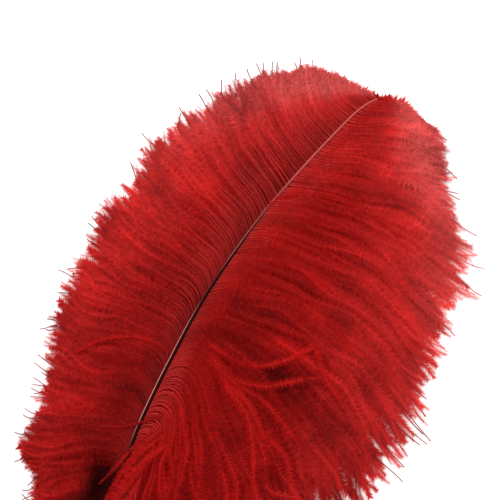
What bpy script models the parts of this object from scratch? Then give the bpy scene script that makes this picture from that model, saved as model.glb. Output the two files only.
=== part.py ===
"""Ostrich feather, lying on a table with its shaft and its arched top up.

One grown piece: a horny quill that runs on as the shaft, with a vane of soft barbs down each
side. The barbs are gathered here into broad overlapping locks that rise from the shaft, turn
over and run out to the ragged edge, and their undersides lie flat on the table.

Metres, +Z up, the table at z = 0. The shaft's ends lie along +Y, with the tip at +Y.
"""
import math
import random

import bpy
import bmesh
import numpy as np
from mathutils import Vector

MM = 0.001
FEATHER_LENGTH = 350.0        # along the shaft, mm
CHORD_HEADING = 26.85         # turns the headings below so that the shaft's ends lie along +Y
ORIGIN_ALONG = 205.0          # the origin is on the table under this point of the shaft
LOCKS_RIGHT = 29
LOCKS_LEFT = 27
RING_STEP = 18.0              # most between a lock's cross-sections, mm
RING_TURN = 0.42              # and the most that it turns between them, radians
GROOVE = 2.8                  # how far a lock's sides lie below its ridge, mm
BELOW_TABLE = 2.6             # the locks run this far below the table before they are cut flat
COLOUR = (0.42, 0.020, 0.017, 1.0)

# The shaft from the quill's end to the tip: distance along it (mm), heading (degrees clockwise),
# height of its centre over the table (mm), radius (mm).
SHAFT = [
    (0, 9.0, 2.3, 0.7),
    (1.5, 9.0, 2.3, 1.6),
    (5, 9.2, 2.4, 2.2),
    (55, 12.0, 4.6, 2.0),
    (100, 15.5, 7.2, 1.55),
    (138, 20.0, 9.2, 1.35),
    (169, 25.0, 10.6, 1.2),
    (224, 33.0, 12.4, 1.0),
    (270, 38.8, 13.2, 0.8),
    (295, 41.8, 13.2, 0.7),
    (316, 43.3, 12.6, 0.6),
    (332, 45.0, 11.2, 0.55),
    (341, 54.0, 9.8, 0.5),
    (350, 68.0, 8.0, 0.4),
]

# A vane's barbs, by where they leave the shaft: distance along it (mm), the angle at which they
# leave it, the distance in which they turn over (mm), the angle at which they then run, the share
# of their length around which that gives way to the angle at their ends, that angle, their length
# (mm), how far they rise over the shaft (mm), the height of their ends (mm). Angles are from the
# shaft's own heading, in degrees, outward.
RIGHT_VANE = [
    (55, 34, 9, 146, 0.5, 138, 44, 5.0, 2.0),
    (70, 28, 11, 156, 0.45, 140, 56, 6.0, 2.0),
    (85, 24, 13, 166, 0.45, 142, 68, 7.0, 2.0),
    (100, 18, 15, 180, 0.45, 146, 82, 8.0, 2.0),
    (112, 14, 17, 194, 0.42, 152, 95, 8.5, 2.0),
    (130, 13, 20, 202, 0.42, 164, 102, 9.5, 2.0),
    (147, 13, 25, 174, 0.5, 166, 106, 10.0, 2.0),
    (163, 14, 26, 152, 0.5, 152, 114, 10.0, 2.0),
    (178, 20, 20, 128, 0.5, 136, 123, 10.0, 2.0),
    (190, 28, 15, 104, 0.5, 124, 129, 9.5, 2.0),
    (203, 36, 11, 76, 0.42, 116, 135, 9.5, 2.2),
    (217, 38, 10, 69, 0.42, 108, 133, 9.5, 2.3),
    (230, 38, 10, 74, 0.5, 104, 125, 9.0, 2.5),
    (246, 38, 10, 76, 0.55, 104, 119, 9.0, 2.5),
    (265, 40, 9, 68, 0.5, 95, 109, 8.5, 2.5),
    (280, 40, 8, 61, 0.5, 88, 105, 8.5, 2.5),
    (293, 41, 8, 54, 0.5, 79, 88, 8.0, 2.5),
    (307, 42, 7, 48, 0.5, 72, 69, 7.0, 2.5),
    (325, 42, 6, 42, 0.5, 66, 53, 5.5, 2.5),
    (340, 34, 5, 36, 0.5, 60, 31, 3.5, 2.5),
    (350, 14, 5, 24, 0.5, 50, 16, 1.5, 2.5),
]
LEFT_VANE = [
    (55, 40, 8, 150, 0.5, 146, 38, 5.0, 2.0),
    (85, 32, 10, 140, 0.5, 132, 46, 6.5, 2.0),
    (112, 28, 11, 124, 0.5, 114, 50, 8.0, 2.0),
    (122, 27, 12, 117, 0.5, 108, 57, 8.5, 2.0),
    (135, 26, 12, 110, 0.5, 103, 53, 8.5, 2.0),
    (150, 26, 12, 106, 0.5, 99, 57, 9.0, 2.0),
    (170, 26, 12, 104, 0.5, 92, 63, 9.0, 2.0),
    (191, 28, 11, 100, 0.5, 88, 66, 9.0, 2.2),
    (212, 30, 11, 96, 0.5, 83, 69, 9.0, 2.3),
    (230, 32, 10, 92, 0.5, 80, 65, 9.0, 2.4),
    (247, 34, 10, 88, 0.5, 76, 70, 8.5, 2.5),
    (262, 42, 10, 84, 0.5, 69, 62, 8.0, 2.5),
    (283, 60, 9, 80, 0.5, 60, 56, 7.5, 2.5),
    (300, 72, 9, 79, 0.5, 54, 50, 6.5, 2.5),
    (312, 80, 9, 80, 0.5, 50, 44, 5.5, 2.5),
    (325, 86, 8, 84, 0.5, 47, 36, 4.0, 2.5),
    (340, 92, 6, 94, 0.5, 66, 19, 2.0, 3.5),
    (350, 98, 4, 100, 0.5, 96, 5, 0.8, 5.0),
]


def clear_scene():
    for obj in list(bpy.data.objects):
        bpy.data.objects.remove(obj, do_unlink=True)


def column(table, index, at):
    """A table's column at the distance `at` along the shaft."""
    return np.interp(at, [row[0] for row in table], [row[index] for row in table])


def shaft_path():
    """Distances along the shaft and its x and y there, from its headings."""
    along = np.arange(0.0, FEATHER_LENGTH + 0.25, 0.5)
    heading = np.radians(column(SHAFT, 1, along) - CHORD_HEADING)
    step = np.diff(along)
    x = np.concatenate([[0.0], np.cumsum((np.sin(heading[1:]) + np.sin(heading[:-1])) / 2 * step)])
    y = np.concatenate([[0.0], np.cumsum((np.cos(heading[1:]) + np.cos(heading[:-1])) / 2 * step)])
    x -= np.interp(ORIGIN_ALONG, along, x)
    y -= np.interp(ORIGIN_ALONG, along, y)
    return along, x, y


ALONG, SHAFT_X, SHAFT_Y = shaft_path()


def smooth(share, low, high):
    """Zero up to `low`, one from `high`, and a smooth step between them."""
    t = np.clip((share - low) / (high - low), 0.0, 1.0)
    return t * t * (3.0 - 2.0 * t)


def guide(table, side, root, stretch, out):
    """Points (mm) of a barb that leaves the shaft at `root`, at the distances `out` along it.

    side is +1 for the right vane and -1 for the left. Distances below zero carry on straight
    back through the shaft.
    """
    leave, turn, run, bend, end, length, rise, tip = (column(table, k, root) for k in range(1, 9))
    length = length * stretch
    heading0 = column(SHAFT, 1, root) - CHORD_HEADING
    fine = np.linspace(0.0, length, 61)
    sharpness = min(max(1.0 + turn / 12.0, 1.6), 3.0)
    angle = run + (leave - run) * np.exp(-(fine / turn) ** sharpness)
    angle += (end - run) * smooth(fine / length, bend - 0.4, bend + 0.4)
    angle = np.radians(heading0 + side * angle)
    step = fine[1]
    x = np.concatenate([[0.0], np.cumsum((np.sin(angle[1:]) + np.sin(angle[:-1])) / 2 * step)])
    y = np.concatenate([[0.0], np.cumsum((np.cos(angle[1:]) + np.cos(angle[:-1])) / 2 * step)])
    x += np.interp(root, ALONG, SHAFT_X)
    y += np.interp(root, ALONG, SHAFT_Y)
    out = np.asarray(out)
    ahead = np.clip(out, 0.0, length)
    behind = np.minimum(out, 0.0)
    px = np.interp(ahead, fine, x) + behind * math.sin(angle[0])
    py = np.interp(ahead, fine, y) + behind * math.cos(angle[0])
    share = ahead / length
    fall = share ** 1.4 * (1.4 - 0.4 * share)
    start = column(SHAFT, 2, root) - 0.2 * column(SHAFT, 3, root)
    pz = start + (tip - start) * fall
    pz += rise * (1.0 - np.exp(-(ahead / (0.8 * turn + 1.0)) ** 1.5)) * (1.0 - share) ** 1.1
    return np.stack([px, py, pz], axis=1)


def stations(line, length):
    """Distances along a barb for a lock's cross-sections, closer together where the barb bends."""
    step = np.diff(line[:, :2], axis=0)
    heading = np.unwrap(np.arctan2(step[:, 0], step[:, 1]))
    turned = np.concatenate([[0.0, 0.0], np.cumsum(np.abs(np.diff(heading)))])
    out = np.linspace(0.0, length, len(line))
    measure = turned / RING_TURN + out / RING_STEP
    rings = math.ceil(measure[-1]) + 1
    return np.interp(np.linspace(0.0, measure[-1], rings), measure, out)


def distance_to(points, line):
    """Distance in the table's plane from each point to a polyline."""
    a, b = line[:-1, :2], line[1:, :2]
    ab = b - a
    rel = points[:, None, :2] - a[None]
    t = np.clip((rel * ab).sum(-1) / np.maximum((ab * ab).sum(-1), 1e-9), 0.0, 1.0)
    return np.sqrt((((a + t[..., None] * ab) - points[:, None, :2]) ** 2).sum(-1)).min(axis=1)


def bend_radius(points):
    """Radius of a polyline's bends in the table's plane, at each of its points."""
    step = np.diff(points[:, :2], axis=0)
    heading = np.unwrap(np.arctan2(step[:, 0], step[:, 1]))
    length = np.linalg.norm(step, axis=1)
    radius = (length[1:] + length[:-1]) / 2 / np.maximum(np.abs(np.diff(heading)), 1e-3)
    return np.concatenate([[radius[0]], radius, [radius[-1]]])


def loft(name, rings, collection):
    """A closed solid over rings of equally many points, as a mesh object."""
    bm = bmesh.new()
    loops = [[bm.verts.new(Vector(p) * MM) for p in ring] for ring in rings]
    for near, far in zip(loops, loops[1:]):
        for k in range(len(near)):
            n = (k + 1) % len(near)
            bm.faces.new((near[k], near[n], far[n], far[k]))
    bm.faces.new(list(reversed(loops[0])))
    bm.faces.new(loops[-1])
    bmesh.ops.triangulate(bm, faces=bm.faces[:])
    bmesh.ops.recalc_face_normals(bm, faces=bm.faces[:])
    mesh = bpy.data.meshes.new(name)
    bm.to_mesh(mesh)
    bm.free()
    obj = bpy.data.objects.new(name, mesh)
    collection.objects.link(obj)
    obj.hide_render = True
    obj.display_type = 'WIRE'
    return obj


def lock_roots(table, side, count):
    """Where the locks leave the shaft: closer together where the vane fans out to its edge."""
    tries = np.linspace(table[0][0] + 1.0, table[-1][0] - 2.0, 120)
    edge = np.array([guide(table, side, r, 0.8, [200.0])[0, :2] for r in tries])
    travel = 0.45 * np.diff(tries) + 0.55 * np.linalg.norm(np.diff(edge, axis=0), axis=1)
    travel = np.concatenate([[0.0], np.cumsum(travel)])
    return np.interp(np.linspace(0.0, travel[-1], count), travel, tries)


def make_locks(table, side, count, name, rng, collection):
    """One vane's locks: each is ridged along the top and as wide as the way to its neighbours."""
    roots = lock_roots(table, side, count) + np.array([rng.uniform(-1.0, 1.0) for _ in range(count)])
    wide = [guide(table, side, r, 1.0, np.linspace(-6.0, 150.0, 80)) for r in roots]
    for i, root in enumerate(roots):
        stretch = rng.uniform(0.95, 1.07)
        lift = rng.uniform(-0.9, 0.9)
        floor = -BELOW_TABLE - rng.uniform(0.0, 0.8)
        length = column(table, 6, root) * stretch
        line = guide(table, side, root, stretch, np.linspace(0.0, length, 61))
        out = np.concatenate([[-3.0], stations(line, length)])
        points = guide(table, side, root, stretch, out)
        share = np.clip(out / length, 0.0, 1.0)
        points[:, 2] += lift * np.clip(out / 15.0, 0.0, 1.0) * (1.0 - 0.6 * share)
        before = distance_to(points, wide[i - 1]) if i > 0 else None
        after = distance_to(points, wide[i + 1]) if i < count - 1 else None
        before = after if before is None else before
        after = before if after is None else after
        ahead = np.gradient(points[:, :2], axis=0)
        ahead /= np.linalg.norm(ahead, axis=1)[:, None]
        toward_tip = np.stack([ahead[:, 1], -ahead[:, 0]], axis=1) * -side
        slim = 1.0 - 0.88 * np.clip((share - 0.82) / 0.18, 0.0, 1.0) ** 2.0
        sizes = [np.clip(0.66 * reach, 1.9, 12.0) * slim for reach in (before, after)]
        sizes[0] = np.minimum(sizes[0], 0.75 * bend_radius(points))
        rings = []
        for k in range(len(points)):
            x, y, z = points[k]
            groove = min(GROOVE * min(1.0, 0.25 + max(out[k], 0.0) / 20.0), z * 0.5)
            back = points[k, :2] - toward_tip[k] * sizes[0][k]
            front = points[k, :2] + toward_tip[k] * sizes[1][k]
            ring = [(back[0], back[1], floor), (back[0], back[1], z - groove), (x, y, z),
                    (front[0], front[1], z - groove), (front[0], front[1], floor)]
            rings.append(ring)
        loft("%s_%02d" % (name, i), rings, collection)


def make_bed(collection):
    """The barbs packed under the shaft, between the two vanes."""
    rings = []
    for along in np.linspace(58.0, 347.0, 24):
        x = np.interp(along, ALONG, SHAFT_X)
        y = np.interp(along, ALONG, SHAFT_Y)
        turn = math.radians(column(SHAFT, 1, along) - CHORD_HEADING)
        side = np.array([math.cos(turn), -math.sin(turn)])
        top = column(SHAFT, 2, along) - 0.5 * column(SHAFT, 3, along)
        narrow = np.interp(along, [300.0, 330.0], [2.8, 1.6])
        left = np.interp(along, [60.0, 80.0, 160.0, 210.0], [4.0, 6.5, 6.5, narrow])
        right = np.interp(along, [60.0, 90.0, 115.0, 160.0, 190.0, 225.0],
                          [3.0, 9.0, 12.0, 13.0, 9.0, narrow])
        a, b = np.array([x, y]) - side * left, np.array([x, y]) + side * right
        rings.append([(a[0], a[1], -4.5), (a[0], a[1], top * 0.85), (x, y, top),
                      (b[0], b[1], top * 0.85), (b[0], b[1], -4.5)])
    loft("bed", rings, collection)


def make_shaft():
    """The quill and the shaft: a tube that thins to the tip, from a curve."""
    curve = bpy.data.curves.new("shaft", 'CURVE')
    curve.dimensions = '3D'
    curve.bevel_depth = 1.0 * MM
    curve.bevel_resolution = 2
    curve.use_fill_caps = True
    places = [0.0, 0.6, 1.5, 3.0, 5.0, 18.0, 36.0, 48.0]
    places += list(np.arange(56.0, 320.0, 11.0)) + [322.0, 328.0, 333.0, 338.0, 342.0, 346.0, 350.0]
    spline = curve.splines.new('POLY')
    spline.points.add(len(places) - 1)
    for point, along in zip(spline.points, places):
        point.co = (np.interp(along, ALONG, SHAFT_X) * MM, np.interp(along, ALONG, SHAFT_Y) * MM,
                    column(SHAFT, 2, along) * MM, 1.0)
        point.radius = column(SHAFT, 3, along)
    tube = bpy.data.objects.new("shaft_curve", curve)
    bpy.context.scene.collection.objects.link(tube)
    bpy.context.view_layer.update()
    evaluated = tube.evaluated_get(bpy.context.evaluated_depsgraph_get())
    mesh = bpy.data.meshes.new_from_object(evaluated)
    bm = bmesh.new()
    bm.from_mesh(mesh)
    bmesh.ops.remove_doubles(bm, verts=bm.verts[:], dist=0.00001)
    bmesh.ops.recalc_face_normals(bm, faces=bm.faces[:])
    bm.to_mesh(mesh)
    bm.free()
    mesh.name = "feather"
    feather = bpy.data.objects.new("feather", mesh)
    feather.matrix_world = tube.matrix_world
    bpy.context.scene.collection.objects.link(feather)
    bpy.data.objects.remove(tube, do_unlink=True)
    return feather


def make_table_cutter(collection):
    """A block under the table, whose top is the plane that the underside lies on."""
    bm = bmesh.new()
    bmesh.ops.create_cube(bm, size=1.0)
    bmesh.ops.scale(bm, vec=(0.6, 0.6, 0.02), verts=bm.verts[:])
    bmesh.ops.translate(bm, vec=(0.0, 0.0, -0.01), verts=bm.verts[:])
    mesh = bpy.data.meshes.new("below_table")
    bm.to_mesh(mesh)
    bm.free()
    cutter = bpy.data.objects.new("below_table", mesh)
    collection.objects.link(cutter)
    cutter.hide_render = True
    cutter.display_type = 'WIRE'
    return cutter


def one_closed_solid(feather):
    """The feather with its Booleans made real, slivers merged and closed pockets filled in."""
    bpy.context.view_layer.update()
    evaluated = feather.evaluated_get(bpy.context.evaluated_depsgraph_get())
    mesh = bpy.data.meshes.new_from_object(evaluated)
    bm = bmesh.new()
    bm.from_mesh(mesh)
    bmesh.ops.remove_doubles(bm, verts=bm.verts[:], dist=0.000005)
    left = set(bm.verts)
    shells = []
    while left:
        shell, edge = set(), [left.pop()]
        while edge:
            vert = edge.pop()
            shell.add(vert)
            for other in (e.other_vert(vert) for e in vert.link_edges):
                if other in left:
                    left.discard(other)
                    edge.append(other)
        shells.append(shell)
    shells.sort(key=len)
    for shell in shells[:-1]:
        bmesh.ops.delete(bm, geom=list(shell), context='VERTS')
    bm.to_mesh(mesh)
    bm.free()
    feather.modifiers.clear()
    feather.data = mesh


def feather_material():
    material = bpy.data.materials.new("dyed_barbs")
    material.use_nodes = True
    shader = material.node_tree.nodes["Principled BSDF"]
    shader.inputs["Base Color"].default_value = COLOUR
    shader.inputs["Roughness"].default_value = 0.7
    shader.inputs["Metallic"].default_value = 0.0
    return material


def main():
    clear_scene()
    rng = random.Random(7)
    locks = bpy.data.collections.new("locks")
    cutters = bpy.data.collections.new("cutters")
    bpy.context.scene.collection.children.link(locks)
    bpy.context.scene.collection.children.link(cutters)

    make_locks(RIGHT_VANE, 1, LOCKS_RIGHT, "right", rng, locks)
    make_locks(LEFT_VANE, -1, LOCKS_LEFT, "left", rng, locks)
    make_bed(locks)
    cutter = make_table_cutter(cutters)

    feather = make_shaft()
    feather.data.materials.clear()
    feather.data.materials.append(feather_material())
    grow = feather.modifiers.new("vanes", 'BOOLEAN')
    grow.operation = 'UNION'
    grow.solver = 'EXACT'
    grow.operand_type = 'COLLECTION'
    grow.collection = locks
    rest = feather.modifiers.new("underside", 'BOOLEAN')
    rest.operation = 'DIFFERENCE'
    rest.solver = 'EXACT'
    rest.object = cutter
    one_closed_solid(feather)


main()
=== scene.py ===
import math

import bpy
import numpy as np
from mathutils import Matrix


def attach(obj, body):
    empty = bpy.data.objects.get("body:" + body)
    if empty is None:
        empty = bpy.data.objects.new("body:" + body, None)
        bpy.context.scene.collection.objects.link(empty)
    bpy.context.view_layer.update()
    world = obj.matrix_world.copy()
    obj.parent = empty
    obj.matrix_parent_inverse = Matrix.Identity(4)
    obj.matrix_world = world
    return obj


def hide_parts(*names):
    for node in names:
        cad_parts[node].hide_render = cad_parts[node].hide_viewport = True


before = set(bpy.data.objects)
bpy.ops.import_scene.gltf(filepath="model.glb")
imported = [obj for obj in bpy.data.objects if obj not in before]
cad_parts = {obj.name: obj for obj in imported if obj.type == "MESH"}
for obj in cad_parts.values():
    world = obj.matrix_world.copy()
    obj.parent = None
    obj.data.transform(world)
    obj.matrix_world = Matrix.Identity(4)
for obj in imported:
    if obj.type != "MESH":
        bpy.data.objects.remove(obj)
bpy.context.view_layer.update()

rng = np.random.default_rng(20)


# ------------
# The shaft: a long blade of horn that grew with the barbs on it, round and bare at the quill and
# flatter and finer towards its hooked tip. Its upper side is a roof of two facets, with the ridge
# towards the narrow vane.
MM = 0.001                    # m
SHAFT_LENGTH = 350.0          # mm
CHORD = 26.85                 # heading of the line between the shaft's ends, degrees
ORIGIN_ALONG = 205.0          # the frame's origin is under this point of the shaft, mm
ALONG_STEP = 0.5              # mm between the points of the shaft's curve

# distance along (mm), heading (degrees clockwise), height of the centre (mm), radius (mm)
SHAFT = np.array([
    (0, 9.0, 2.3, 0.7), (1.5, 9.0, 2.3, 1.6), (5, 9.2, 2.4, 2.2), (55, 12.0, 4.6, 1.9),
    (100, 15.5, 7.2, 1.45), (138, 20.0, 9.2, 1.30), (169, 25.0, 10.6, 1.22), (224, 33.0, 12.4, 0.95),
    (270, 38.8, 13.2, 0.64), (295, 41.8, 13.2, 0.49), (316, 43.3, 12.6, 0.43), (332, 45.0, 11.2, 0.38),
    (341, 54.0, 9.8, 0.33), (350, 68.0, 8.0, 0.26)])
HEADING, HEIGHT, RADIUS = 1, 2, 3          # its columns
# a slow bow on top of those headings: distance along, how far the shaft lies to the right (mm)
BOW = np.array([
    (140, 0.0), (162, 0.80), (183, 1.18), (212, 0.70), (250, 0.50), (272, 0.15), (300, 0.20),
    (330, 0.30), (345, 0.0)])

SIDES = 16                    # points around the shaft
NIB = 6.0                     # mm at the quill's end, where the rings are closer
NIB_RINGS, RINGS = 12, 190
# from the centres of the first and last ring to the points that close the ends, mm
QUILL_POINT, TIP_POINT = (0.0, -0.35, 0.0), (0.25, 0.15, -0.1)
ROOFED = (45.0, 110.0)        # mm along, over which the round quill takes on its roof
RIDGE_ALONG = (250.0, 300.0)  # mm along, over which the ridge comes back to the middle
RIDGE_ASIDE = (-0.45, 0.0)    # how far it lies aside there, in radii
RIDGE_HEIGHT, ROOF_FALL = 0.95, 0.50       # radii, and radii for each radius aside
EAVES_HEIGHT, BELLY = 0.10, 0.9            # radii up at the edges, radii down
CORNERS = 0.7                 # the power that draws the facets out to the edges


def column(table, index, at):
    """A table's column at distances along the shaft."""
    return np.interp(at, table[:, 0], table[:, index])


def smooth(x, low=0.0, high=1.0):
    """0 up to `low` and 1 from `high` on, with a soft rise between them."""
    t = np.clip((np.asarray(x, float) - low) / (high - low), 0.0, 1.0)
    return t * t * (3.0 - 2.0 * t)


def unit(v):
    return v / np.maximum(np.linalg.norm(v, axis=-1, keepdims=True), 1e-9)


ALONG = np.arange(0.0, SHAFT_LENGTH + ALONG_STEP / 2, ALONG_STEP)
TURNED = np.radians(column(SHAFT, HEADING, ALONG) - CHORD)
EAST, NORTH = np.sin(TURNED), np.cos(TURNED)
SHAFT_X = np.concatenate([[0.0], np.cumsum((EAST[1:] + EAST[:-1]) / 2 * ALONG_STEP)])
SHAFT_Y = np.concatenate([[0.0], np.cumsum((NORTH[1:] + NORTH[:-1]) / 2 * ALONG_STEP)])
SHAFT_X -= np.interp(ORIGIN_ALONG, ALONG, SHAFT_X)
SHAFT_Y -= np.interp(ORIGIN_ALONG, ALONG, SHAFT_Y)
SHAFT_X += column(BOW, 1, ALONG) * NORTH
SHAFT_Y -= column(BOW, 1, ALONG) * EAST


def mesh_object(name, verts, faces, points, uv=None, normals=None):
    """An object from arrays: verts (N, 3) in mm, faces (F, 3) of indices, uv (F, 3, 2).

    points holds arrays of named values, one a vertex, and normals one direction a vertex.
    """
    mesh = bpy.data.meshes.new(name)
    mesh.vertices.add(len(verts))
    mesh.vertices.foreach_set("co", (np.asarray(verts) * MM).astype(np.float32).ravel())
    mesh.loops.add(faces.size)
    mesh.loops.foreach_set("vertex_index", faces.astype(np.int32).ravel())
    mesh.polygons.add(len(faces))
    mesh.polygons.foreach_set("loop_start", np.arange(0, faces.size, 3, dtype=np.int32))
    mesh.polygons.foreach_set("use_smooth", np.ones(len(faces), dtype=bool))
    for key, values in points.items():
        layer = mesh.attributes.new(key, 'FLOAT', 'POINT')
        layer.data.foreach_set("value", np.asarray(values, np.float32).ravel())
    if uv is not None:
        layer = mesh.uv_layers.new(name="OFBake")
        layer.uv.foreach_set("vector", np.asarray(uv, np.float32).ravel())
    mesh.update(calc_edges=True)
    mesh.validate()
    if normals is not None:
        layer = mesh.attributes.new("custom_normal", 'FLOAT_VECTOR', 'POINT')
        layer.data.foreach_set("vector", np.asarray(normals, np.float32).ravel())
    obj = bpy.data.objects.new(name, mesh)
    bpy.context.scene.collection.objects.link(obj)
    return obj


def shaft_section(along):
    """The shaft's outline across, (rings, SIDES) to the right and up, and the angle of each side."""
    radius = column(SHAFT, RADIUS, along)[:, None]
    angle = np.linspace(0.0, 2 * np.pi, SIDES, endpoint=False)
    cos, sin = np.cos(angle), np.sin(angle)
    ridge = np.interp(along, RIDGE_ALONG, RIDGE_ASIDE)[:, None]
    roof_u = (np.sign(cos) * np.abs(cos) ** CORNERS)[None]
    roof_v = np.where(sin > 0, RIDGE_HEIGHT - ROOF_FALL * np.abs(roof_u - ridge), sin * BELLY)
    roof_v = np.where(np.abs(sin) < 0.05, EAVES_HEIGHT, roof_v)
    roof = smooth(along, *ROOFED)[:, None]
    u = cos[None] * radius * (1 - roof) + roof_u * radius * roof
    v = sin[None] * radius * (1 - roof) + roof_v * radius * roof
    return u, v, angle


def make_shaft():
    """Rings around the shaft's curve, closed by a point at each end."""
    along = np.concatenate([np.linspace(0.0, NIB, NIB_RINGS)[:-1], np.linspace(NIB, SHAFT_LENGTH, RINGS)])
    count = len(along)
    turned = np.radians(column(SHAFT, HEADING, along) - CHORD)
    right = np.stack([np.cos(turned), -np.sin(turned), np.zeros_like(turned)], 1)
    centre = np.stack([np.interp(along, ALONG, SHAFT_X), np.interp(along, ALONG, SHAFT_Y),
                       column(SHAFT, HEIGHT, along)], 1)
    u, v, angle = shaft_section(along)
    verts = centre[:, None] + right[:, None] * u[..., None]
    verts[..., 2] += v
    ends = np.stack([centre[0] + QUILL_POINT, centre[-1] + TIP_POINT])
    verts = np.concatenate([verts.reshape(-1, 3), ends])
    k = np.arange(SIDES)
    following = (k + 1) % SIDES
    base = (np.arange(count - 1) * SIDES)[:, None]
    a, b = base + k, base + following
    quads = np.stack([a, b, b + SIDES, a + SIDES], -1).reshape(-1, 4)
    last = (count - 1) * SIDES
    quill_cap = np.stack([following, k, np.full(SIDES, count * SIDES)], -1)
    tip_cap = np.stack([last + k, last + following, np.full(SIDES, count * SIDES + 1)], -1)
    faces = np.concatenate([quads[:, [0, 1, 2]], quads[:, [0, 2, 3]], quill_cap, tip_cap])
    share = np.concatenate([np.repeat(along / SHAFT_LENGTH, SIDES), [0.0, 1.0]])
    across = np.concatenate([np.tile(np.cos(angle), count), [0.0, 0.0]])
    return mesh_object("shaft", verts, faces, {"along": share, "across": across})


def new_material(name):
    """A material and its node tree, empty."""
    material = bpy.data.materials.new(name)
    material.use_nodes = True
    material.node_tree.nodes.clear()
    return material, material.node_tree


def node(tree, kind, values=None, **settings):
    """A shader node with its settings; values sets or links its sockets, by name or number."""
    made = tree.nodes.new(kind)
    for key, value in settings.items():
        setattr(made, key, value)
    for key, value in (values or {}).items():
        if isinstance(value, bpy.types.NodeSocket):
            tree.links.new(value, made.inputs[key])
        else:
            made.inputs[key].default_value = value
    return made


def attribute(tree, name):
    """A value that the mesh holds at its vertices."""
    return node(tree, "ShaderNodeAttribute", attribute_name=name).outputs["Fac"]


def ramp(tree, at, stops):
    """The colour at a value, on a ramp through places and colours."""
    made = node(tree, "ShaderNodeValToRGB", {0: at})
    elements = made.color_ramp.elements
    while len(elements) > 1:
        elements.remove(elements[-1])
    elements[0].position, elements[0].color = stops[0][0], (*stops[0][1], 1.0)
    for place, colour in stops[1:]:
        elements.new(place).color = (*colour, 1.0)
    return made.outputs[0]


def horn_material():
    """Pale horn at the bare quill, then dyed nearly black, with a painted highlight along its left edge."""
    material, tree = new_material("horn_of_the_shaft")
    along = attribute(tree, "along")
    horn = ramp(tree, along, [
        (0.0, (0.50, 0.25, 0.19)), (0.13, (0.30, 0.06, 0.05)), (0.26, (0.012, 0.001, 0.001)),
        (0.70, (0.014, 0.001, 0.001)), (0.78, (0.10, 0.012, 0.011)), (0.84, (0.28, 0.045, 0.042)),
        (1.0, (0.38, 0.070, 0.066))])
    # the left edge's colour: a painted highlight in bands along the shaft, from the lamp on the upper left;
    # the pale horn at the quill
    painted_highlight = ramp(tree, along, [
        (0.0, (0.50, 0.25, 0.19)), (0.14, (0.30, 0.06, 0.05)), (0.27, (0.04, 0.005, 0.005)),
        (0.38, (0.06, 0.008, 0.008)), (0.43, (0.62, 0.22, 0.20)), (0.57, (0.58, 0.20, 0.18)),
        (0.62, (0.05, 0.006, 0.006)), (0.66, (0.08, 0.010, 0.010)), (0.70, (0.46, 0.15, 0.14)),
        (0.79, (0.42, 0.12, 0.11)), (0.84, (0.32, 0.055, 0.052)), (1.0, (0.40, 0.075, 0.070))])
    # `across` runs from -1 at the left edge to 1 at the right one, and the ramp from 0 to 1; where it is
    # under 0.2 the edge takes the painted highlight
    across = node(tree, "ShaderNodeMath", {0: attribute(tree, "across"), 1: 0.5, 2: 0.5},
                  operation='MULTIPLY_ADD')
    edge = ramp(tree, across.outputs[0], [
        (0.0, (1.0, 1.0, 1.0)), (0.10, (1.0, 1.0, 1.0)), (0.20, (0.0, 0.0, 0.0))])
    mixed = node(tree, "ShaderNodeMix", {0: edge, 6: horn, 7: painted_highlight}, data_type='RGBA')
    shader = node(tree, "ShaderNodeBsdfPrincipled",
                  {"Base Color": mixed.outputs[2], "Roughness": 0.42, "Specular IOR Level": 0.05})
    node(tree, "ShaderNodeOutputMaterial", {0: shader.outputs[0]})
    return material


shaft = make_shaft()
shaft.data.materials.append(horn_material())
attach(shaft, "root")
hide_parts("feather")


# ------------
# The barbs of the two vanes: fine keratin stems a millimetre apart that leave the shaft, turn
# over and run out, with loose barbules down both sides. They draw together into soft locks.
# where the barb leaves the shaft, leaving angle, distance of the turn, running angle, the share
# of its length where that gives way to the end angle, end angle, length, rise over the shaft,
# height of the end (mm and degrees)
RIGHT_VANE = np.array([
    (55, 38, 9, 130, 0.5, 118, 40, 4.5, 2.0), (70, 34, 10, 140, 0.45, 124, 52, 5.5, 2.0),
    (85, 29, 10, 153, 0.45, 130, 62, 6.5, 2.0), (100, 24, 9, 170, 0.45, 140, 75, 7.5, 2.0),
    (112, 20, 8.5, 184, 0.42, 150, 86, 8.0, 2.0), (130, 20, 9, 189, 0.42, 162, 95, 9.0, 2.0),
    (147, 19, 12, 174, 0.5, 166, 105, 9.5, 2.0), (163, 18, 15, 152, 0.5, 152, 113, 9.5, 2.0),
    (178, 22, 15, 128, 0.5, 136, 120, 9.5, 2.0), (190, 28, 15, 104, 0.5, 124, 126, 9.0, 2.0),
    (203, 36, 11, 76, 0.42, 116, 131, 9.0, 2.2), (217, 38, 10, 69, 0.42, 108, 129, 9.0, 2.3),
    (230, 38, 10, 74, 0.5, 104, 121, 8.5, 2.5), (246, 38, 10, 76, 0.55, 104, 115, 8.5, 2.5),
    (265, 44, 9, 68, 0.5, 95, 109, 8.0, 2.5), (280, 52, 9, 62, 0.5, 88, 105, 8.0, 2.5),
    (293, 62, 9, 54, 0.5, 79, 89, 7.5, 2.5), (307, 68, 8, 48, 0.5, 72, 70, 6.5, 2.5),
    (325, 68, 7, 40, 0.5, 66, 55, 5.0, 2.5), (340, 58, 6, 32, 0.5, 60, 34, 3.0, 2.5),
    (350, 34, 5, 20, 0.5, 50, 18, 1.0, 2.5)])
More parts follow.
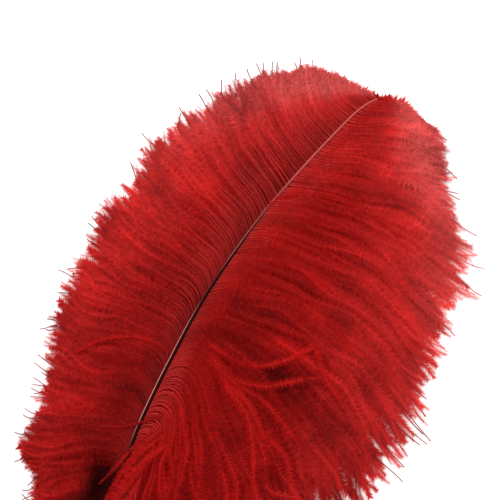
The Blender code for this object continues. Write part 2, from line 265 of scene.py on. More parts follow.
LEFT_VANE = np.array([
    (55, 40, 8, 150, 0.5, 146, 38, 4.5, 2.0), (85, 32, 10, 140, 0.5, 132, 44, 6.0, 2.0),
    (112, 28, 11, 124, 0.5, 114, 48, 7.5, 2.0), (122, 27, 12, 117, 0.5, 108, 57, 8.0, 2.0),
    (135, 26, 12, 110, 0.5, 103, 54.5, 8.0, 2.0), (150, 26, 12, 106, 0.5, 99, 57.5, 8.5, 2.0),
    (170, 26, 12, 104, 0.5, 92, 63, 8.5, 2.0), (191, 28, 11, 100, 0.5, 88, 66.5, 8.5, 2.2),
    (212, 30, 11, 96, 0.5, 83, 69.5, 8.5, 2.3), (230, 32, 10, 92, 0.5, 80, 65, 8.5, 2.4),
    (247, 36, 10, 88, 0.5, 76, 70, 8.0, 2.5), (262, 48, 10, 85, 0.5, 69, 63, 7.5, 2.5),
    (283, 70, 10, 82, 0.5, 60, 56, 7.0, 2.5), (300, 82, 10, 80, 0.5, 54, 50, 6.0, 2.5),
    (312, 88, 10, 82, 0.5, 50, 44, 5.0, 2.5), (325, 94, 9, 86, 0.5, 46, 37, 3.5, 2.5),
    (340, 106, 7, 100, 0.5, 66, 21, 1.5, 3.5), (350, 116, 4, 114, 0.5, 108, 4, 0.3, 6.0)])
# where on the shaft, how pale the barbs' outer half is (their own paler dye, and painted light where the
# thin ends glow lit through), how light they are near the shaft (painted light beside the shaft on the wide
# vane, painted shade in the valley beside it on the narrow vane), the distance from the shaft over which the
# barbules grow to their full length (mm)
RIGHT_TONE = np.array([
    (55, 0.15, -0.03, 18), (120, 0.20, 0.16, 19), (160, 0.22, 0.12, 20), (185, 0.42, -0.08, 13),
    (215, 0.68, -0.05, 9), (250, 0.66, -0.05, 7), (300, 1.00, 0.0, 7), (350, 1.5, 0.0, 5)])
LEFT_TONE = np.array([
    (55, 0.20, -0.28, 16), (120, 0.36, -0.26, 16), (170, 0.45, -0.14, 16), (220, 0.58, -0.08, 17),
    (260, 0.78, -0.08, 15), (300, 0.98, -0.05, 13), (350, 1.6, 0.0, 8)])
PALE, NEAR_LIGHT_AND_SHADE, BARE = 1, 2, 3    # the columns of those two
# what else changes along the shaft, as pairs of the distance along it (mm) and the value
#   thinned: the share of the barbs that lose their barbules short of the end, as a wisp
#   drift:   how far the barbs follow the slow drift and their locks' curl
#   lift_and_light: how much lighter a raised barb is and how much higher it lies; the lightness is painted
#       light, with painted shade on the rest of the top layer
#   vary:    how much the locks differ in tone
#   even:    the tone of all barbs
#   lit_fringe: how much lighter the barbs' ends are, painted light on the thin ends lit through
#   shade_beside_shaft: how dark the layers underneath are beside the shaft, painted shade under the barbs on
#       top
#   shine:   the tone of the bare stems beside the shaft: a painted highlight, and painted shade where it is below nought
#   shown:   the distance from the shaft at which the barbules hide the stems (mm)
#   stand:   how far the barbules stand up (degrees)
#   thick:   how much thicker the stem of a raised barb is
#   long:    how long the barbules are
RIGHT_WAYS = {
    "thinned": ((60, 0.5), (110, 0.4), (150, 0.6), (190, 0.5), (215, 0.2), (250, 0.1)),
    "drift": ((160, 1.0), (215, 0.6)),
    "lift_and_light": ((150, 0.40), (190, 0.32), (240, 0.20)),
    "vary": ((180, 0.34), (240, 0.24)),
    "even": ((120, -0.16), (170, -0.09), (230, 0.02), (270, 0.11), (310, 0.09)),
    "lit_fringe": ((180, 0.0), (200, 0.20), (290, 0.12), (310, 0.0)),
    "shade_beside_shaft": ((150, 0.15), (180, 0.4), (230, 0.3), (310, 0.05)),
    "shine": ((130, 0.10), (165, 0.08), (190, 0.0), (300, 0.15)),
    "shown": ((160, 20.0), (190, 9.0), (220, 8.0), (300, 20.0)),
    "stand": ((160, 10.0), (220, 10.0), (290, 0.0)),
    "thick": ((200, 0.0), (260, 0.3)),
    "long": ((150, 1.25), (220, 1.25), (300, 1.1))}
LEFT_WAYS = {
    "thinned": ((60, 0.6), (110, 0.5), (150, 0.25), (190, 0.2)),
    "drift": ((160, 0.6), (215, 0.6)),
    "lift_and_light": ((150, 0.26), (190, 0.20), (240, 0.12)),
    "vary": ((180, 0.27), (240, 0.18)),
    "even": ((120, 0.02), (170, -0.02), (230, -0.04), (270, -0.05), (310, -0.10)),
    "lit_fringe": ((180, 0.0), (310, 0.0)),
    "shade_beside_shaft": ((150, 0.2), (180, 0.2), (230, 0.15), (310, 0.05)),
    "shine": ((130, -0.1), (165, -0.06), (190, 0.02), (300, 0.12)),
    "shown": ((160, 10.0), (190, 17.0), (220, 24.0), (300, 40.0)),
    "stand": ((160, 8.0), (220, -3.0), (290, -9.0)),
    "thick": ((200, 0.0), (260, 0.5)),
    "long": ((150, 1.2), (220, 1.05), (300, 1.0))}
# soft hollows in the vanes: the vane (1 is the wide one), x, y and spread (mm), the share of the
# height lost there, the loss of tone that paints the shade in the hollow
HOLLOWS = ((-1, -5.0, -88.0, 7.0, 0.60, 0.8), (-1, 1.0, -98.0, 8.0, 0.70, 1.2),
           (-1, -1.0, -112.0, 11.0, 0.50, 0.8), (-1, -22.0, -34.0, 20.0, 0.05, 0.15),
           (1, 51.0, -6.5, 7.0, 0.12, 0.40), (1, 63.0, -13.0, 17.0, 0.10, 0.34),
           (1, 47.0, -36.0, 22.0, 0.06, 0.16), (1, 72.5, -52.0, 9.0, 0.15, 0.35),
           (1, 16.0, 8.0, 16.0, 0.0, 0.10), (1, 40.0, 75.0, 16.0, 0.06, 0.22))
DEEPEST = 0.8                 # share of its height that a hollow takes at most

STEPS = 36                    # points along a barb
CROWDING = 1.12               # the power by which they crowd towards the shaft
SHARE = np.linspace(0.0, 1.0, STEPS) ** CROWDING      # their shares of its length
GUIDES, GRID = 220, 60        # guide barbs in a vane, points along one
OVERRUN = 1.15                # lengths that a guide barb goes on for
ROOT_DEPTH = 0.2              # radii under the shaft's centre at which a barb leaves it
# the sharpness of a turn is a power: mm of turn that add one to it, the least and the most
TURN_SHARP, LEAST_SHARP, MOST_SHARP = 12.0, 1.6, 3.0
BEND_HALF = 0.4               # share of the length, to each side, in which a barb bends to its end

LOCK_WIDTH = 6.5              # mm of shaft whose barbs hang together
LOCK_VARIES = (0.6, 1.4)      # widths from one lock's middle to the next
LOCK_MIXED = 0.14             # spread of the barbs over to the next lock, in widths
FAN_AT, FAN_FILL = 0.6, 0.62  # share of the length where the fan is measured, how far it is filled
MOST_CROWDED = 2.8            # times as many barbs at most in the layers underneath, one less on top
ROOTS_VARY = 0.2              # spread of the roots, in spacings
STRAYS, RAISED = 0.05, 0.30   # shares of the barbs that stray, and that lie on the others
TOP_LOCKS = 0.25              # share of the locks that lie on the others
# a barb's share of the length that the vane gives it: the mean, the spread of the barbs and of the
# locks, the least and the most
LENGTH_MEAN, LENGTH_BARB, LENGTH_LOCK, SHORTEST, LONGEST = 1.03, 0.025, 0.018, 0.8, 1.14
WISP_LEAST = 12.0             # mm of barb, for one that may end in a wisp
WISP_LONGER = (1.5, 8.0)      # mm that it is longer than the others
HELD = (0.1, 0.5)             # how far barbs are drawn to the middle of their lock
ASTRAY = 5.0                  # mm, the spread of the ends of strays and wisps
LIFT_LOCK, LIFT_BARB, LIFT_STRAY = 0.35, 0.25, 1.0    # mm, the spread of their height
LOWEST, LOWEST_VARIES = 0.8, 0.8           # mm from the table to the lowest stems
# mm from the shaft over which barbs loosen, their lock takes hold, they drift, and they curl
LOOSENS, HOLDS, DRIFTS, CURLS = (6.0, 45.0), (5.0, 30.0), (8.0, 40.0), (9.0, 40.0)
FRAYS = (0.55, 1.0)           # shares of the length over which they fray
# turns along a barb and size (mm) of the waves in which locks and barbs wander, curl and rise
LOCK_WANDERS, BARB_WANDERS = ((0.8, 0.9), (1.8, 0.5)), ((1.0, 0.5), (2.3, 0.3))
LOCK_CURLS, BARB_CURLS = ((1.3, 0.8), (2.6, 0.4)), ((1.6, 0.35), (3.3, 0.16))
LOCK_RISES, BARB_RISES = ((0.9, 0.6),), ((1.4, 0.4), (3.5, 0.3))
# wave length and size (mm) of the drift that neighbouring barbs share, the angle between the way a
# wave runs and the way it moves them (radians), and how far it does so up and down
DRIFT_WAVES = ((70, 1.3), (52, 1.1), (38, 0.9), (27, 0.6), (19, 0.35))
DRIFT_ASIDE, DRIFT_UP = 1.3, 0.55
PACES = (0.7, 1.3)            # of the waves of single locks and barbs

MIDDLE_TONE, WISP_DARK = 0.5, 0.38
BARB_TONE, LOCK_TONES = 0.08, ((0.8, 0.07), (1.7, 0.05))     # spread of the barbs, waves of the locks
# shares of the length over which barbs grow paler, their fringe grows light as painted light, and a wisp
# dark
PALES, FRINGE_LIT, WISPED = (0.05, 1.05), (0.70, 1.0), (0.8, 0.93)
# mm from the shaft over which the tone beside it (painted light and shade) and the painted shade of the
# layers underneath end, and raised barbs get their painted light
TONED, SHADE_FADES, RAISED_LIT = (8.0, 40.0), (2.0, 16.0), (10.0, 35.0)


def guide_surface(table, side):
    """Barb paths over a grid of roots and shares of length, as far as OVERRUN."""
    roots = np.linspace(table[0, 0], table[-1, 0], GUIDES)
    leave, turn, run, bend, end, length, rise, tip = (column(table, k, roots)[:, None] for k in range(1, 9))
    share = np.linspace(0.0, OVERRUN, GRID)[None]
    far = share * length
    sharp = np.clip(1.0 + turn / TURN_SHARP, LEAST_SHARP, MOST_SHARP)
    angle = run + (leave - run) * np.exp(-(far / turn) ** sharp)
    angle = angle + (end - run) * smooth(share, bend - BEND_HALF, bend + BEND_HALF)
    heading = np.radians(column(SHAFT, HEADING, roots)[:, None] - CHORD + side * angle)
    step = far[:, 1:2]
    sin, cos = np.sin(heading), np.cos(heading)
    x = np.cumsum((sin[:, 1:] + sin[:, :-1]) / 2 * step, axis=1)
    y = np.cumsum((cos[:, 1:] + cos[:, :-1]) / 2 * step, axis=1)
    zero = np.zeros((len(roots), 1))
    x = np.concatenate([zero, x], 1) + np.interp(roots, ALONG, SHAFT_X)[:, None]
    y = np.concatenate([zero, y], 1) + np.interp(roots, ALONG, SHAFT_Y)[:, None]
    # the height falls from the root's to the end's, and arches up beside the shaft
    inside = np.minimum(share, 1.0)
    start = (column(SHAFT, HEIGHT, roots) - ROOT_DEPTH * column(SHAFT, RADIUS, roots))[:, None]
    z = start + (tip - start) * inside ** 1.4 * (1.4 - 0.4 * inside)
    z = z + rise * (1.0 - np.exp(-(far / (0.8 * turn + 1.0)) ** 1.5)) * (1.0 - inside) ** 1.1
    path = np.stack([x, y, z], -1)
    path[..., 2] *= 1.0 - dips(path, side)[0]
    return roots, path, length[:, 0]


def dips(path, side):
    """How far the hollows lower a vane at its points, and how much painted shade they put on it."""
    lowered, darker = np.zeros(path.shape[:-1]), np.zeros(path.shape[:-1])
    for vane, x, y, spread, low, dark in HOLLOWS:
        if vane == side:
            near = np.exp(-((path[..., 0] - x) ** 2 + (path[..., 1] - y) ** 2) / spread ** 2)
            lowered, darker = lowered + low * near, darker + dark * near
    return np.minimum(lowered, DEEPEST), darker


def on_surface(roots, grid, at, share):
    """Points of a guide surface at roots `at` and shares of length `share`."""
    a = np.clip((at - roots[0]) / (roots[1] - roots[0]), 0.0, len(roots) - 1.001)
    b = np.clip(share / OVERRUN * (GRID - 1), 0.0, GRID - 1.001)
    i, j = a.astype(int), b.astype(int)
    u, v = (a - i)[..., None], (b - j)[..., None]
    return ((grid[i, j] * (1 - u) + grid[i + 1, j] * u) * (1 - v)
            + (grid[i, j + 1] * (1 - u) + grid[i + 1, j + 1] * u) * v)


def wander(count, share, waves):
    """Smooth random curves, one a barb, from waves of so many turns along it and such a size."""
    total = np.zeros((count, share.shape[-1]))
    for turns, size in waves:
        phase = rng.uniform(0, 2 * np.pi, (count, 1))
        pace = turns * rng.uniform(*PACES, (count, 1))
        total += size * np.sin(2 * np.pi * pace * share + phase)
    return total


# the ways that the waves of the drift run, their phases, paces and sizes
WAVES = [(*rng.uniform(0, 2 * np.pi, 3), 2 * np.pi / wave, size) for wave, size in DRIFT_WAVES]


def drift(path):
    """The slow drift sideways, and up and down, that neighbouring barbs share."""
    total = np.zeros_like(path)
    for way, phase, lift_phase, pace, size in WAVES:
        place = pace * (path[..., 0] * math.cos(way) + path[..., 1] * math.sin(way))
        total[..., 0] += size * np.sin(place + phase) * math.cos(way + DRIFT_ASIDE)
        total[..., 1] += size * np.sin(place + phase) * math.sin(way + DRIFT_ASIDE)
        total[..., 2] += DRIFT_UP * size * np.sin(place + lift_phase)
    return total


def plant(roots, grid, spacing, bundle):
    """Where the barbs leave the shaft, closer where they fan out, and how far the fan spreads."""
    fan = np.linalg.norm(np.diff(grid[:, int(FAN_AT * GRID), :2], axis=0), axis=1) / np.diff(roots)
    crowd = np.clip(FAN_FILL * fan, 1.0, MOST_CROWDED - bundle) * np.diff(roots)
    crowd = np.concatenate([[0.0], np.cumsum(crowd)])
    base = np.interp(np.arange(0.0, crowd[-1] - 0.5, spacing), crowd, roots)
    return base + rng.normal(0.0, spacing * ROOTS_VARY, len(base)), fan


def gather(values, low, high, spacing):
    """Each value's lock: the nearest of centres that are `spacing` apart, more or less."""
    centres = [low - spacing]
    while centres[-1] < high + spacing:
        centres.append(centres[-1] + spacing * rng.uniform(*LOCK_VARIES))
    centres = np.array(centres)
    jitter = values + rng.normal(0.0, spacing * LOCK_MIXED, len(values))
    index = np.abs(jitter[:, None] - centres[None]).argmin(1)
    return centres[index], index, len(centres)


def pick(own, way, which, locks, bundle):
    """Which barbs stray, end in a wisp, are in a lock on top or are raised, and their stretch."""
    count = len(own)
    stray = (rng.random((count, 1)) < STRAYS).astype(float)
    wisp = bundle * (rng.random((count, 1)) < way["thinned"]) * (own > WISP_LEAST)
    top = (rng.random(locks) < TOP_LOCKS).astype(float)[which][:, None] * bundle
    raised = (rng.random((count, 1)) < RAISED).astype(float) * bundle
    stretch = rng.normal(LENGTH_MEAN, LENGTH_BARB, (count, 1))
    stretch = stretch + rng.normal(0.0, LENGTH_LOCK, locks)[which][:, None]
    stretch = stretch + wisp * rng.uniform(*WISP_LONGER, (count, 1)) / own
    return stray, wisp, top, raised, np.clip(stretch, SHORTEST, LONGEST)


def dye_light_and_shade_along(laid, tones, way, side, bundle, locks):
    """The tone and the paleness of barbs along their length.

    They go by the place on the barb, the lock, the single barb, the layer and the hollows, and hold painted
    light and shade: light beside the shaft, on the wide vane's ends and on raised barbs, shade in the valley
    beside the shaft, on the layers underneath and in the hollows.
    """
    base, which, far, wisp, raised = (laid[key] for key in ("base", "which", "far", "wisp", "raised"))
    share = SHARE[None]
    # the barbs' own paler dye towards their ends, with painted light where the thin ends glow lit through
    pale = column(tones, PALE, base)[:, None] * (0.12 + 0.88 * smooth(share, *PALES) ** 0.9)
    # painted light beside the shaft on the wide vane, painted shade in the valley beside it on the narrow
    # vane
    tone = MIDDLE_TONE + column(tones, NEAR_LIGHT_AND_SHADE, base)[:, None] * (1 - smooth(far, *TONED))
    # the even tone, with painted light on the lit fringe of the thin ends
    even = way["even"] + way["lit_fringe"] * smooth(share, *FRINGE_LIT)
    tone = tone + even + way["vary"] * (rng.random(locks)[which] - 0.5)[:, None]
    tone = tone + rng.normal(0.0, BARB_TONE, (len(base), 1))
    tone = tone + wander(locks, share, LOCK_TONES)[which]
    # painted shade on the layers underneath, beside the shaft
    tone = tone - way["shade_beside_shaft"] * (1.0 - bundle) * (1.0 - smooth(laid["aside"], *SHADE_FADES))
    tone = tone - WISP_DARK * wisp * smooth(share, *WISPED)
    # painted light on the raised barbs, painted shade on the rest of the top layer
    tone = tone - (0.10 + 0.2 * way["lift_and_light"]) * bundle + way["lift_and_light"] * raised * smooth(far, *RAISED_LIT)
    # painted shade in the hollows, which also takes away paleness
    dark = dips(laid["path"], side)[1]
    return tone - dark, pale * (1.0 - np.minimum(0.7 * dark, 1.0))


def lay_barbs(table, tones, ways, side, spacing, sink=0.0, drop=0.0, bundle=1.0):
    """The barbs of one vane: their paths, their tones, and how each one's stem and barbules are.

    sink is the share of its height that a barb loses, drop the mm, and bundle how much the barbs
    draw together into locks: 1 for the top layer and 0 for those underneath.
    """
    low, high = table[0, 0], table[-1, 0]
    roots, grid, length = guide_surface(table, side)
    base, fan = plant(roots, grid, spacing, bundle)
    count = len(base)
    way = {key: np.interp(base, *np.transpose(pairs))[:, None] for key, pairs in ways.items()}
    lock, which, locks = gather(base, low, high, LOCK_WIDTH)
    own = np.interp(base, roots, length)[:, None]
    share = SHARE[None]
    far = share * own
    stray, wisp, top, raised, stretch = pick(own, way, which, locks, bundle)
    # the course over the vane: held by the lock, loose further out, and drawn aside at the end
    loose = smooth(far, *LOOSENS)
    fray = smooth(share, *FRAYS)
    hold = bundle * smooth(far, *HOLDS) * (1 - 0.8 * fray) * rng.uniform(*HELD, (count, 1))
    hold = hold * (1 - 0.9 * stray)
    at = base[:, None] + hold * (lock - base)[:, None]
    at = at + wander(locks, share, LOCK_WANDERS)[which] * loose * (1 + 1.2 * top) * bundle
    at = at + wander(count, share, BARB_WANDERS) * loose * (1 + 1.5 * fray + 1.5 * raised)
    aim = rng.normal(0.0, ASTRAY, (count, 1)) / np.maximum(np.interp(base, roots[1:], fan), 1.0)[:, None]
    at = at + np.maximum(stray, wisp) * aim * share ** 2.5
    path = on_surface(roots, grid, np.clip(at, low, high), share * stretch)
    path = path + drift(path) * (way["drift"] * smooth(far, *DRIFTS))[..., None]
    ahead = unit(np.gradient(path, axis=1))
    across = unit(np.cross(ahead, [0.0, 0.0, 1.0]))
    curl = wander(locks, share, LOCK_CURLS)[which] * (1 - 0.5 * fray)
    curl = curl + wander(count, share, BARB_CURLS) * (1 + fray)
    path = path + across * (way["drift"] * curl * smooth(far, *CURLS))[..., None]
    # the height: each lock's and each barb's own, with the lock's middle a little up
    lift = rng.normal(0.0, LIFT_LOCK, locks)[which][:, None] + rng.normal(0.0, LIFT_BARB, (count, 1))
    lift = lift + 0.5 * top + stray * np.abs(rng.normal(0.0, LIFT_STRAY, (count, 1)))
    lift = lift + (0.5 + 1.6 * way["lift_and_light"]) * raised - 0.6 * bundle
    rise = wander(count, share, BARB_RISES) + wander(locks, share, LOCK_RISES)[which]
    offset = np.clip((base - lock) / (0.5 * LOCK_WIDTH), -1.2, 1.2)[:, None]
    path[..., 2] += (lift * (1 - 0.4 * share) + rise) * loose + 0.6 * hold * (1 - offset ** 2)
    path[..., 2] = path[..., 2] * (1.0 - sink) - drop
    path[..., 2] = np.maximum(path[..., 2], LOWEST + LOWEST_VARIES * rng.random((count, 1)))
    aside = np.stack([np.hypot(one[:, :1] - SHAFT_X[::4], one[:, 1:2] - SHAFT_Y[::4]).min(1)
                      for one in path])
    laid = {"base": base, "which": which, "far": far, "wisp": wisp, "raised": raised, "aside": aside,
            "path": path}
    tone, pale = dye_light_and_shade_along(laid, tones, way, side, bundle, locks)
    phase = rng.uniform(0.0, 1.0, locks)[which] + rng.normal(0.0, 0.12, count)
    full = np.clip(0.5 + 0.5 * rng.random(count) - 0.5 * stray[:, 0], 0.1, 1.0)
    return {"path": path, "length": (own * stretch)[:, 0], "tone": tone, "pale": pale, "aside": aside,
            "wisp": wisp[:, 0], "thick": 1.0 + (way["thick"] * raised)[:, 0], "phase": phase,
            "shine": way["shine"][:, 0], "shown": way["shown"][:, 0], "full": full,
            "stand": way["stand"][:, 0] * bundle, "long": way["long"][:, 0],
            "bare": column(tones, BARE, base)}


HATCH = 0.95                  # mm between the little tufts that a barb's barbules stand in
FEWEST = 8                    # barbules on one side of a barb
OFF_PLACE = 0.4               # how far a barbule stands from its even place, in half spacings
NEARBY = 0.35                 # mm before and behind it over which its stem's direction is taken
DRAWN = 0.7                   # how far the points of a tuft are drawn together
# degrees between a barbule and its stem, the spread of the tufts and of the single ones; the same
# spreads of their roll; shares of the length for tufts and for single ones, and of the width
LEAN, LEAN_TUFT, LEAN_ONE, ROLL_TUFT, ROLL_ONE = 74.0, 8.0, 4.0, 8.0, 7.0
SIZE_TUFT, SIZE_ONE, WIDTH_ONE = (0.85, 1.10), (0.8, 1.1), (0.8, 1.2)
SAG = 0.10                    # how far a barbule's point hangs, in lengths
CLEAR = 0.25                  # mm from the table to the lowest points
ENDING, BALD = (0.72, 1.0), (0.86, 0.93)   # shares of a barb at its end, and before a wisp
NORMAL_VARIES = 0.12
TUFT_TONE, TUFT_EDGE_SHADE, TUFT_EVEN = 0.12, 0.30, 0.15    # spread, painted shade at a tuft's edges, and the rest
ROOT_TONE, POINT_TONE = -0.25, 0.15        # of a barbule
ROOT_REACH, POINT_REACH, STEM_REACH = 0.35, 1.0, 0.22
SHADE_UNDER_BARBULES = 0.35         # how much darker a stem is under full barbules: painted shade
# shares of the distance `shown` over which a bare stem's painted highlight and shade beside the shaft ends,
# the painted shade under the barbules comes on and it takes the dye
SHINES, DARKENS, DYED = (0.4, 1.0), (0.4, 1.4), (0.3, 1.0)
STEM_TAPER, STEM_RIDGE, STEM_ROUND = 0.7, 0.9, 0.4    # loss of width, height and the normals' slant
MATTED, MATTED_WIDTH = (0.82, 0.95), 1.9   # where the barbules of a wisp are matted to its stem
ROW_STEM, ROW_NEAR, ROW_FAR = 0.11, 0.13, 0.47        # shares of a barb's row of the UV map
UV_LENGTH, UV_EDGE = 0.996, 0.002                     # the longest row, and the margin before it


def along_barb(values, who, share):
    """Values at shares of the length of the barbs `who`."""
    place = np.clip(share ** (1 / CROWDING) * (STEPS - 1), 0.0, STEPS - 1.001)
    k = place.astype(int)
    f = place - k
    if values.ndim == 3:
        f = f[:, None]
    return values[who, k] * (1 - f) + values[who, k + 1] * f


def stem_ribbons(barbs, stem, row):
    """The stems: a ribbon of two facets along each path, and its place in the UV map."""
    path, length = barbs["path"], barbs["length"]
    count = len(path)
    ahead = unit(np.gradient(path, axis=1))
    across = unit(np.cross(ahead, [0.0, 0.0, 1.0]))
    up = unit(np.cross(across, ahead))
    half = (1.0 - STEM_TAPER * SHARE ** 1.1)[None] * barbs["thick"][:, None]
    matted = MATTED_WIDTH * barbs["wisp"][:, None] * smooth(SHARE, *MATTED)[None]
    half = (stem * (half + matted))[..., None]
    rings = np.stack([path - across * half, path + up * half * STEM_RIDGE, path + across * half], axis=2)
    facing = np.stack([up - STEM_ROUND * across, up, up + STEM_ROUND * across], axis=2)
    ring = np.arange(count * STEPS).reshape(count, STEPS)[:, :-1] * 3
    u = SHARE[None] * length[:, None] / length.max() * UV_LENGTH + UV_EDGE
    u_near, u_far = u[:, :-1], u[:, 1:]
    faces, uvs = [], []
    for a, b in ((0, 1), (1, 2)):
        va, vb = row[:, None] + (a - 1) * ROW_STEM / count, row[:, None] + (b - 1) * ROW_STEM / count
        va, vb = np.broadcast_to(va, u_near.shape), np.broadcast_to(vb, u_near.shape)
        for corner in (((a, 0), (b, 0), (b, 1)), ((a, 0), (b, 1), (a, 1))):
            faces.append(np.stack([ring + k + 3 * step for k, step in corner], -1).reshape(-1, 3))
            pair = [np.stack([u_far if step else u_near, va if k == a else vb], -1) for k, step in corner]
            uvs.append(np.stack(pair, -2).reshape(-1, 3, 2))
    # beside the shaft the stems are bare and take their own colour, further out the barbules'
    away = barbs["aside"] / barbs["shown"][:, None]
    # the bare stems beside the shaft: a painted highlight, and painted shade where `shine` is below nought
    shine = barbs["shine"][:, None] * (1.0 - smooth(away, *SHINES))
    # painted shade on the stems under full barbules
    shine = shine - SHADE_UNDER_BARBULES * smooth(away, *DARKENS)
    return {"verts": rings.reshape(-1, 3), "normals": unit(facing).reshape(-1, 3),
            "faces": np.concatenate(faces), "uvs": np.concatenate(uvs),
            "tone": np.repeat(barbs["tone"] + shine, 3, axis=1).ravel(),
            "pale": np.repeat(barbs["pale"], 3, axis=1).ravel(),
            "reach": np.repeat(STEM_REACH * smooth(away, *DYED), 3, axis=1).ravel()}


def barbule_slivers(barbs, side, each, reach, hair, least, row):
    """The barbules on one side of the stems, `each` of them on a barb: a sliver with a fine point.

    They stand in little tufts that lean, roll and shade alike.
    """
    path, length = barbs["path"], barbs["length"]
    count = len(path)
    who = np.repeat(np.arange(count), each)
    first = np.concatenate([[0], np.cumsum(each)[:-1]])
    place = (np.arange(len(who)) - first[who] + 0.5) / each[who]
    span = 0.5 / each[who]
    tufts = int(length.max() / HATCH) + 4
    # where a barbule stands, its stem's direction there, and the two across it
    jitter = np.clip(place + rng.uniform(-OFF_PLACE, OFF_PLACE, len(who)) * span, 0.0, 1.0)
    far = jitter * length[who]
    root = along_barb(path, who, jitter)
    next_root = along_barb(path, who, np.clip(jitter + NEARBY / length[who], 0.0, 1.0))
    last_root = along_barb(path, who, np.clip(jitter - NEARBY / length[who], 0.0, 1.0))
    t = unit(next_root - last_root)
    b = unit(np.cross(t, [0.0, 0.0, 1.0])) * side
    n = unit(np.cross(b, t)) * side
    tuft = np.clip((far / HATCH + barbs["phase"][who] + 1.0).astype(int), 0, tufts - 1)
    middle = (tuft + 0.5 - 1.0 - barbs["phase"][who]) * HATCH
    # which way it points
    end = smooth(place, *ENDING)
    lean = rng.normal(LEAN, LEAN_TUFT, (count, tufts))[who, tuft] + rng.normal(0, LEAN_ONE, len(who))
    lean = np.radians(lean) * (1 - 0.40 * end)
    roll = rng.normal(0.0, ROLL_TUFT, (count, tufts))[who, tuft] + rng.normal(0, ROLL_ONE, len(who))
    roll = np.radians(barbs["stand"][who] + roll)
    out = b * np.cos(roll)[:, None] + n * np.sin(roll)[:, None]
    ray = t * np.cos(lean)[:, None] + out * np.sin(lean)[:, None]
    # how long it is: short beside the shaft and at the barb's end, and nearly bald along a wisp
    grown = smooth(along_barb(barbs["aside"], who, jitter) / barbs["bare"][who], 0.15, 1.0)
    size = (least + (1.0 - least) * grown) * barbs["long"][who]
    size = size * (1.0 - (0.30 + 0.5 * (1 - barbs["full"][who])) * end)
    size = size * (1.0 - 0.85 * barbs["wisp"][who] * smooth(place, *BALD))
    size = size * rng.uniform(*SIZE_TUFT, (count, tufts))[who, tuft] * rng.uniform(*SIZE_ONE, len(who))
    ray = ray * (reach * size)[:, None] + t * (DRAWN * (middle - far))[:, None]
    ray[:, 2] -= SAG * reach * size * size
    width = hair * rng.uniform(*WIDTH_ONE, len(who)) * (1 - 0.4 * end)
    near = root - t * (width / 2)[:, None]
    fore = root + t * (width / 2)[:, None]
    tip = root + ray
    tip[:, 2] = np.maximum(tip[:, 2], CLEAR)
    corners = (fore, near, tip) if side > 0 else (near, fore, tip)
    inner = unit(n + 0.10 * b + rng.normal(0, NORMAL_VARIES, (len(who), 3)))
    outer = unit(n + 0.30 * b + rng.normal(0, NORMAL_VARIES, (len(who), 3)))
    flat = length[who] / length.max() * UV_LENGTH
    u0, u1, um = (place - span) * flat + UV_EDGE, (place + span) * flat + UV_EDGE, place * flat + UV_EDGE
    v0, v1 = row[who] + side * ROW_NEAR / count, row[who] + side * ROW_FAR / count
    tone = along_barb(barbs["tone"], who, jitter) + rng.normal(0, TUFT_TONE, (count, tufts))[who, tuft]
    # painted shade in the gaps at each tuft's edges
    tone = tone - TUFT_EDGE_SHADE * np.abs(far - middle) / (0.5 * HATCH) + TUFT_EVEN
    return {"verts": np.stack(corners, 1).reshape(-1, 3),
            "normals": np.stack([inner, inner, outer], 1).reshape(-1, 3),
            "faces": np.arange(len(who) * 3).reshape(-1, 3),
            "uvs": np.stack([np.stack(pair, -1) for pair in ((u0, v0), (u1, v0), (um, v1))], 1),
            "tone": (tone[:, None] + [ROOT_TONE, ROOT_TONE, POINT_TONE]).ravel(),
            "pale": np.repeat(along_barb(barbs["pale"], who, jitter), 3),
            "reach": np.tile([ROOT_REACH, ROOT_REACH, POINT_REACH], len(who))}


def make_barbs(name, barbs, pitch, reach, stem, hair, least, depth):
    """One mesh of barbs: a roofed ribbon for each stem and a sliver for each barbule.

    pitch, reach and hair are the barbules' spacing, length and width (mm), least is the share of
    their length that they have beside the shaft, stem is half a stem's width (mm), and depth is 1
    in the layers underneath.
    """
    count = len(barbs["path"])
    row = (np.arange(count) + 0.5) / count
    each = np.maximum((barbs["length"] / pitch).astype(int), FEWEST)
    parts = [stem_ribbons(barbs, stem, row)]
    for side in (-1, 1):
        parts.append(barbule_slivers(barbs, side, each, reach, hair, least, row))
    before = 0
    for part in parts:
        part["faces"] = part["faces"] + before
        before += len(part["verts"])
    whole = {key: np.concatenate([part[key] for part in parts]) for key in parts[0]}
    points = {key: whole[key] for key in ("tone", "pale", "reach")}
    points["depth"] = np.full(before, float(depth))
    obj = mesh_object(name, whole["verts"], whole["faces"], points, whole["uvs"], whole["normals"])
    obj.data.materials.append(dyed)
    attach(obj, "root")
    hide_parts("feather")
    print(name, "barbs", count, "triangles", len(obj.data.polygons))


